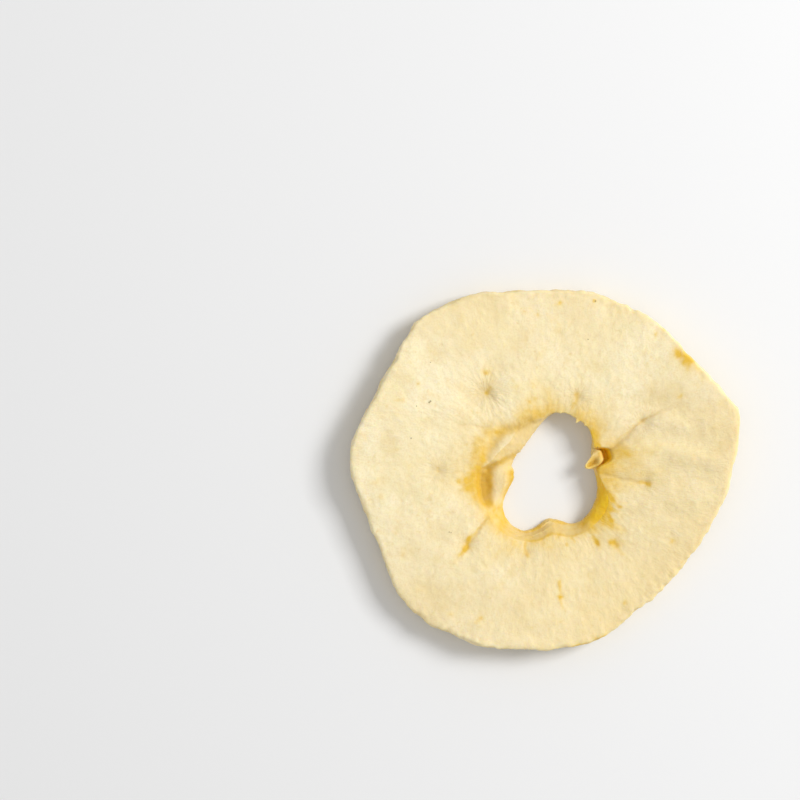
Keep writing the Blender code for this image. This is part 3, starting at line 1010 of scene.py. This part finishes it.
def flesh_colour(tree, where, furrows):
    """Cream flesh with yellow mottling, golden near the core and amber in its pockets, with painted
    shade in its furrows, hollows, creases and recesses and towards its lower and right-hand sides,
    and a painted glow on the hole's right wall.
    """
    broad = ramp_node(tree, noise_node(tree, where, 110, 3), 0.36, 0.66)
    colour = mix_node(tree, broad, srgb(251, 238, 202), srgb(246, 231, 188))
    # A darker, warmer tone, partly painted shade
    colour = tint_node(tree, colour, mask_node(tree, "warmth_and_shade"), 1, (236, 214, 160))
    for scale, detail, coarse, low, high, most, tint in MOTTLING:
        patches = ramp_node(tree, noise_node(tree, where, scale, detail, coarse), low, high)
        colour = tint_node(tree, colour, patches, most, tint)
    # Painted shade in the fine furrows
    colour = tint_node(tree, colour, furrows, 0.2, (226, 194, 118))
    # Painted shade in the hollows of the fine relief
    colour = tint_node(tree, colour, mask_node(tree, "hollow"), 0.4, (222, 198, 136))
    fine = math_node(tree, "MULTIPLY_ADD", noise_node(tree, where, 900, 3, 0.6), 0.8, 0.6)
    gold = ramp_node(tree, math_node(tree, "MULTIPLY", mask_node(tree, "gold"), fine), 0.02, 0.95)
    gold_colour = mix_node(tree, gold, srgb(238, 210, 130), srgb(230, 188, 66))
    colour = mix_node(tree, gold, colour, gold_colour)
    # Amber in the deepest chambers, and a painted glow on the hole's right wall
    colour = tint_node(tree, colour, mask_node(tree, "deep"), 0.9, (255, 208, 22))
    # Painted shade, brownish gold, in grooves, creases, recesses and dimples
    colour = tint_node(tree, colour, mask_node(tree, "painted_shade"), 0.8, (198, 158, 66))
    speck = math_node(tree, "MINIMUM", speck_nodes(tree, where), 0.65)
    return mix_node(tree, speck, colour, srgb(140, 122, 80)), gold


def flesh_bump(tree, where, furrows):
    """The suede surface: fine furrows, and soft lumps with finer grain on them."""
    inputs = {"Height": furrows, "Strength": 0.8, "Distance": FURROW_DEPTH}
    normal = new_node(tree, "Bump", inputs, invert=True).outputs["Normal"]
    for scale, height in LUMPS:
        lumps = noise_node(tree, where, scale, 2, 0.55)
        inputs = {"Height": lumps, "Normal": normal, "Strength": 0.75, "Distance": height}
        normal = new_node(tree, "Bump", inputs).outputs["Normal"]
    return normal


def flesh_material():
    """Dull, suede-like dried flesh that lets a little light through."""
    material = bpy.data.materials.new("dried_flesh")
    material.use_nodes = True
    tree = material.node_tree
    where = new_node(tree, "TexCoord").outputs["Object"]
    furrows = furrow_nodes(tree, where)
    colour, gold = flesh_colour(tree, where, furrows)
    deep = mask_node(tree, "deep")
    feed(tree, tree.nodes["Principled BSDF"], {
        "Base Color": colour,
        "Normal": flesh_bump(tree, where, furrows),
        "Roughness": span_node(tree, gold, 0.85, 0.62),
        "Specular IOR Level": 0.3,
        "Subsurface Weight": span_node(tree, deep, 0.3, 0.7),
        "Subsurface Scale": span_node(tree, deep, 1.2 * MM, 1.8 * MM),
        "Subsurface Radius": (1, 0.75, 0.3),
    })
    return material


def warmth_and_painted_shade_mask(points, angle, radius, kind):
    """A darker, warmer tone: painted shade towards the lower edge, on the raised right-hand side,
    near the rim where the key light strikes it and on the hole's wall; and a warmer tone near the
    hole, in broad mottles and towards the top.
    """
    x, y = points[..., 0], points[..., 1]
    rim = rim_radius(angle)
    # Painted shade towards the lower edge and on the raised right-hand side
    low = 0.5 * smooth_step(-y, 4 * MM, 24 * MM)
    right = 0.45 * smooth_step(x, 6 * MM, 24 * MM)
    right = right * (1 - 0.85 * smooth_step(y, 9 * MM, 18 * MM))
    top = 0.35 * smooth_step(y, 14 * MM, 26 * MM) * (1 - smooth_step(x, 4 * MM, 14 * MM))
    mottled = 0.25 * fractal(points, 7 * MM, 3, 21)
    near_hole = 0.3 * soft_spot(radius - mouth_radius(angle), 5 * MM)
    # Painted shade near the rim where the key light strikes it
    painted_rim_shade = 0.4 * smooth_step(radius, rim - 1.1 * MM, rim - 0.4 * MM) * arc_window(angle, 20, 68)
    # The wall's share is painted shade on the hole's wall
    return low + right + top + mottled + near_hole + painted_rim_shade + 0.55 * (kind == WALL)


def side_share(points, angle, kind):
    """1 on the rim's side, fading to 0 towards its upper edge."""
    drop = top_height(rim_radius(angle) - RIM_NOSE, angle) - points[..., 2]
    return smooth_step(drop, 0.3 * MM, 1.6 * MM) * (kind == NOSE)


def gold_mask(points, angle, radius, share, kind, side):
    """How golden each stretch of the skin is, apart from its veins, with painted shade in the groove
    behind the torn lip.
    """
    wall = wall_mask(points, angle, share)
    gold = np.where(kind == WALL, wall, halo_mask(points, angle, radius))
    # Painted shade, golden, in the groove behind the torn lip
    gold = highest(gold, LIP_GROOVE_SHADE * lip_band(radius, angle))
    gold = np.where(kind == BOTTOM, underside_mask(points, angle, radius), gold)
    gold = soften(gold, 0.5 * (kind <= TOP), 3)
    tan = smooth_step(fractal(points * (1, 1, 1.6), 2.4 * MM, 4, 42), -0.1, 0.45)
    return np.where(kind == NOSE, side * (0.1 + 0.35 * tan), gold)


def add_ring(material):
    """The ring's whole skin, in place of the plain solid."""
    points, angle, radius, kind = ring_surface()
    relief = fine_relief(points, angle, radius, kind)
    points = points + grid_normals(points) * relief[..., None]
    points[..., 2] = np.maximum(points[..., 2], 0)
    piece = add_mesh("ring_flesh", points)
    wall = kind == WALL
    share = np.zeros(radius.shape)
    share[:, :WALL_STEPS] = wall_shares()
    side = side_share(points, angle, kind)
    veined = (kind == TOP) + (kind == NOSE) * (1 - side)
    gold = gold_mask(points, angle, radius, share, kind, side)
    masks = {
        "gold": highest(gold, 1.2 * vein_mask(points) * veined),
        # Painted shade in grooves, creases, recesses and dimples
        "painted_shade": painted_shade_mask(points, angle, radius, share, wall),
        # Amber in the deepest chambers, and a painted glow on the hole's right wall
        "deep": amber_and_painted_glow_mask(angle, share) * wall,
        # On the rim's side this is partly its own warmer tone and partly painted shade that dims the
        # lit side
        "warmth_and_shade": warmth_and_painted_shade_mask(points, angle, radius, kind) + 0.75 * side,
        # Painted shade where the fine relief sinks, twice as strong on the rim's side
        "hollow": -relief / FULL_HOLLOW * (1 + side),
        "streak": crease_strength(points, angle, radius) * (kind == TOP) + 0.3 * side,
    }
    for name, values in masks.items():
        add_mask(piece, name, values)
    piece.data.materials.append(material)
    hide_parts("apple_ring")
    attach(piece, "root")


def add_floor():
    """A wide pale floor under the ring."""
    bpy.ops.mesh.primitive_plane_add(size=FLOOR_SIDE, location=(0, 0, -FLOOR_DROP))
    floor = bpy.context.object
    floor.name = "floor"
    material = bpy.data.materials.new("pale_floor")
    material.use_nodes = True
    grey = (FLOOR_GREY, FLOOR_GREY, FLOOR_GREY, 1)
    tree = material.node_tree
    feed(tree, tree.nodes["Principled BSDF"], {"Base Color": grey, "Roughness": 0.85})
    floor.data.materials.append(material)


def add_light(name, azimuth, elevation, distance, size, power):
    """A square soft light that points at the ring."""
    data = bpy.data.lights.new(name, "AREA")
    data.shape = "SQUARE"
    data.size = size
    data.energy = power
    lamp = add_object(name, data)
    turn = math.radians(azimuth)
    rise = math.radians(elevation)
    away = Vector((math.cos(turn) * math.cos(rise), math.sin(turn) * math.cos(rise), math.sin(rise)))
    lamp.location = away * distance
    lamp.rotation_euler = away.to_track_quat("Z", "Y").to_euler()


def add_world(strength):
    """Even white light from all round."""
    world = bpy.data.worlds.new("studio")
    world.use_nodes = True
    tree = world.node_tree
    feed(tree, tree.nodes["Background"], {"Color": (1, 1, 1, 1), "Strength": strength})
    bpy.context.scene.world = world


def add_camera():
    """Straight above the middle of the frame."""
    middle = FRAME_SIDE / 2
    data = bpy.data.cameras.new("camera")
    data.angle = 2 * math.atan(middle * PIXEL / CAMERA_HEIGHT)
    camera = add_object("camera", data)
    across = (middle - RING_MIDDLE_PIXEL[0]) * PIXEL
    up = (RING_MIDDLE_PIXEL[1] - middle) * PIXEL
    camera.location = (across, up, CAMERA_HEIGHT + THICKNESS)
    bpy.context.scene.camera = camera


add_ring(flesh_material())
add_floor()
add_world(strength=0.57)
add_light("key", azimuth=22, elevation=43, distance=0.7, size=0.26, power=3.6)
add_camera()
bpy.context.scene.view_settings.view_transform = "Standard"
